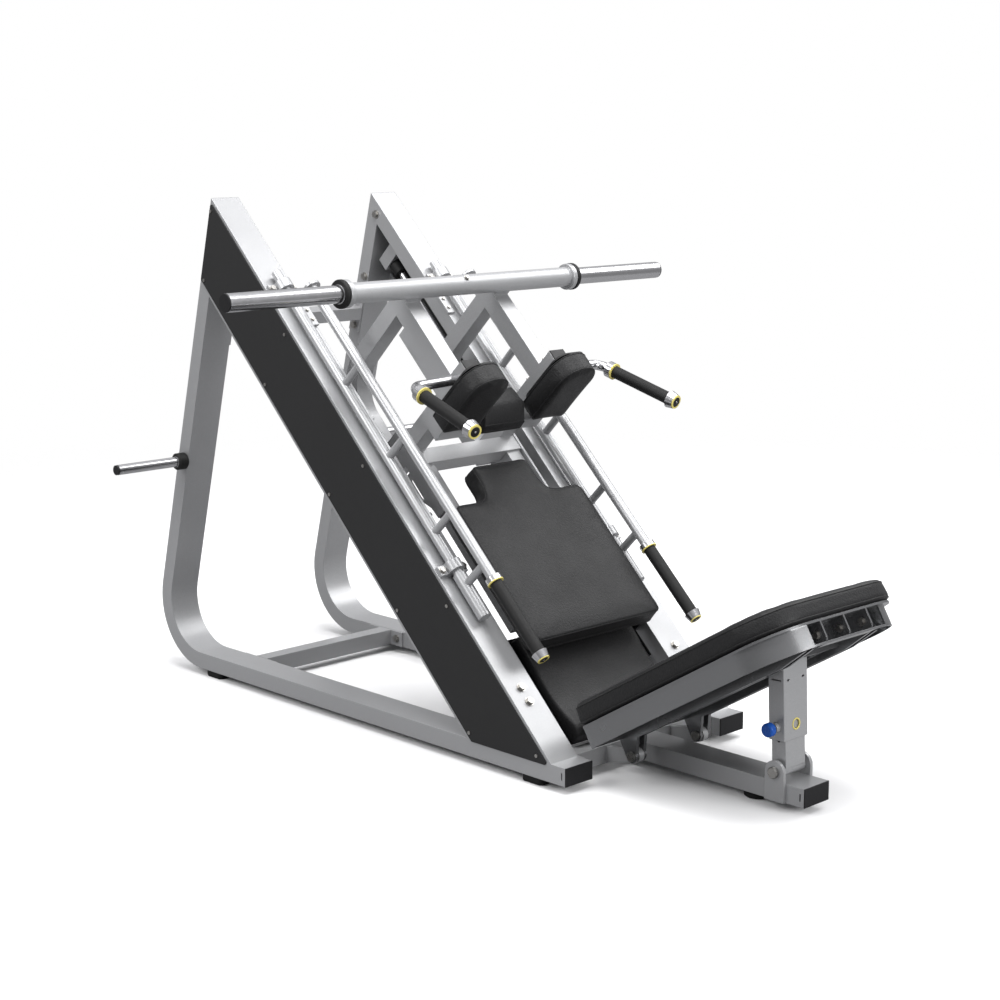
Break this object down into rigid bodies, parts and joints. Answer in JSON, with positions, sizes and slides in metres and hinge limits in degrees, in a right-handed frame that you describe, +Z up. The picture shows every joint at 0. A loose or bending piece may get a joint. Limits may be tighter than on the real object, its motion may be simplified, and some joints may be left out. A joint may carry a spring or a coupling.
{
  "type": "hack squat machine",
  "caption": "Plate-loaded 45 degree hack squat machine: sliding carriage with back and shoulder pads, loading bar, safety levers and an adjustable foot plate.",
  "frame": {"origin": "on the floor, in the middle of the machine's overall width and length, with the carriage at its lower stop", "axes": "+X to the right-hand side seen from the front, +Y from the foot plate to the rear, +Z up; millimetres in the source, metres in the row"},
  "size_m": [1.6676, 2.4125, 1.486],
  "materials": {
    "silver_paint": "silver metallic paint, satin",
    "black_plate_paint": "matt black powder coat",
    "dark_grey_paint": "dark metallic grey paint",
    "zinc_steel": "zinc plated",
    "chrome": "polished chrome",
    "black_rubber": "matt black rubber",
    "black_plastic": "matt black plastic",
    "yellow_plastic": "glossy yellow",
    "blue_plastic": "glossy blue",
    "black_leatherette": "black upholstery leatherette, fine grain"
  },
  "bodies": {
    "frame": {"base_end_caps": "black_plastic", "centre_base_beam": "silver_paint", "frame_bolts": "zinc_steel", "front_cross_beam": "silver_paint", "guide_rod_mounts": "silver_paint", "horn_collars": "black_rubber", "horn_end_caps": "black_plastic", "left_guide_rod": "chrome", "left_side_frame": "silver_paint", "left_side_panel": "black_plate_paint", "left_storage_horn": "chrome", "lever_bearings": "silver_paint", "lower_pad": "black_leatherette", "lower_pad_plate": "black_plate_paint", "panel_screws": "zinc_steel", "post_pivot_bolt": "zinc_steel", "rear_lower_cross_tube": "silver_paint", "rear_upper_cross_tube": "silver_paint", "right_guide_rod": "chrome", "right_side_frame": "silver_paint", "right_side_panel": "black_plate_paint", "right_storage_horn": "chrome", "rod_bumpers": "black_rubber", "rubber_feet": "black_rubber", "stop_plates": "silver_paint"},
    "left_safety_lever": {"left_safety_lever": "silver_paint", "left_lever_grip": "black_rubber", "left_lever_ferrules": "chrome", "left_lever_rings": "yellow_plastic"},
    "right_safety_lever": {"right_safety_lever": "silver_paint", "right_lever_grip": "black_rubber", "right_lever_ferrules": "chrome", "right_lever_rings": "yellow_plastic"},
    "carriage": {"carriage_frame": "silver_paint", "linear_bearings": "zinc_steel", "loading_bar": "silver_paint", "left_loading_sleeve": "chrome", "right_loading_sleeve": "chrome", "sleeve_collars": "black_rubber", "carriage_end_plugs": "black_plastic", "carriage_bolts": "zinc_steel", "left_shoulder_pad": "black_leatherette", "right_shoulder_pad": "black_leatherette", "shoulder_pad_plates": "black_plate_paint", "head_pad": "black_leatherette", "back_pad": "black_leatherette", "back_pad_plate": "black_plate_paint", "left_shoulder_handle": "chrome", "right_shoulder_handle": "chrome", "handle_grips": "black_rubber", "handle_ferrules": "chrome", "handle_rings": "yellow_plastic"},
    "foot_plate": {"foot_pad": "black_leatherette", "foot_plate_frame": "dark_grey_paint", "foot_plate_hinge_pins": "zinc_steel", "foot_plate_bolts": "zinc_steel"},
    "post_inner": {"post_inner_tube": "silver_paint"},
    "post_outer": {"post_outer_tube": "silver_paint"},
    "pull_pin": {"pull_pin": "zinc_steel", "pull_knob": "blue_plastic"}
  },
  "joints": [
    {"name": "carriage_slide", "type": "slide", "parent": "frame", "child": "carriage", "axis": [0, 0.7071, 0.7071], "range_m": [0, 0.545]},
    {"name": "left_lever_turn", "type": "hinge", "parent": "frame", "child": "left_safety_lever", "pos_m": [-0.309, 0.18119, 0.81396], "axis": [0, -0.7071, -0.7071], "range_deg": [0, 40]},
    {"name": "right_lever_turn", "type": "hinge", "parent": "frame", "child": "right_safety_lever", "pos_m": [0.309, 0.18119, 0.81396], "axis": [0, 0.7071, 0.7071], "range_deg": [0, 40]},
    {"name": "foot_plate_tilt", "type": "hinge", "parent": "frame", "child": "foot_plate", "pos_m": [0, -0.62248, 0.066], "axis": [-1, 0, 0], "range_deg": [-5, 12.5]},
    {"name": "post_lean", "type": "hinge", "parent": "frame", "child": "post_inner", "pos_m": [0, -1.02248, 0.098], "axis": [-1, 0, 0], "range_deg": [-5, 12.5]},
    {"name": "post_extend", "type": "slide", "parent": "post_inner", "child": "post_outer", "axis": [0, 0.0451, 0.999], "range_m": [-0.035, 0.0875]},
    {"name": "pull_pin_slide", "type": "slide", "parent": "post_outer", "child": "pull_pin", "axis": [-1, 0, 0], "range_m": [-0.006, 0.008], "stiffness_N_per_m": 600, "springref_m": -0.006}
  ],
  "couplings": [
    {"joint": "post_lean", "follows": "foot_plate_tilt", "ratio": 0.96},
    {"joint": "post_extend", "follows": "foot_plate_tilt", "m_per_rad": 0.4}
  ]
}
